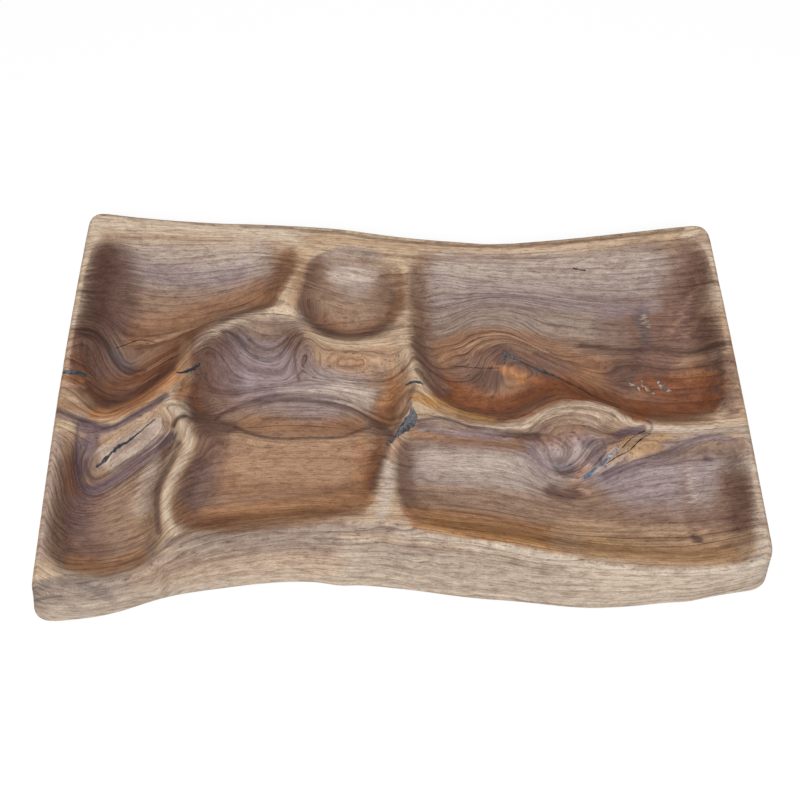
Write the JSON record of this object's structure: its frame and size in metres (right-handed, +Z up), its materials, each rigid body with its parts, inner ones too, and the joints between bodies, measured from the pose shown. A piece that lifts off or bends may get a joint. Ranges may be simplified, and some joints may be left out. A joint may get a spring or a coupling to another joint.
{
  "type": "appetizer dish",
  "caption": "Carved walnut serving board for appetizers, with a round bowl and long sectioned hollows, live edges, and dark resin set flush into its cracks.",
  "frame": {"origin": "on the flat base, under the middle of the board's bounding box", "axes": "+X to the right along the length, +Y towards the back, away from the widest live edge, +Z up"},
  "size_m": [0.6, 0.3919, 0.042],
  "materials": {
    "walnut": "hand carved and sanded walnut with a satin oil finish and pale sapwood along the front edge",
    "dark_resin": "polished dark blue casting resin"
  },
  "bodies": {
    "root": {"carved_board": "walnut", "rim_crack_fill": "dark_resin", "ridge_crack_fill": "dark_resin", "front_left_crack_fill": "dark_resin", "junction_upper_crack_fill": "dark_resin", "junction_lower_crack_fill": "dark_resin", "back_right_star_fill": "dark_resin", "back_right_streak_fill": "dark_resin", "back_right_knot_fill_left": "dark_resin", "back_right_knot_fill_middle": "dark_resin", "back_right_knot_fill_right": "dark_resin", "front_right_crack_fill_lower": "dark_resin", "front_right_crack_fill_upper": "dark_resin"}
  },
  "joints": []
}
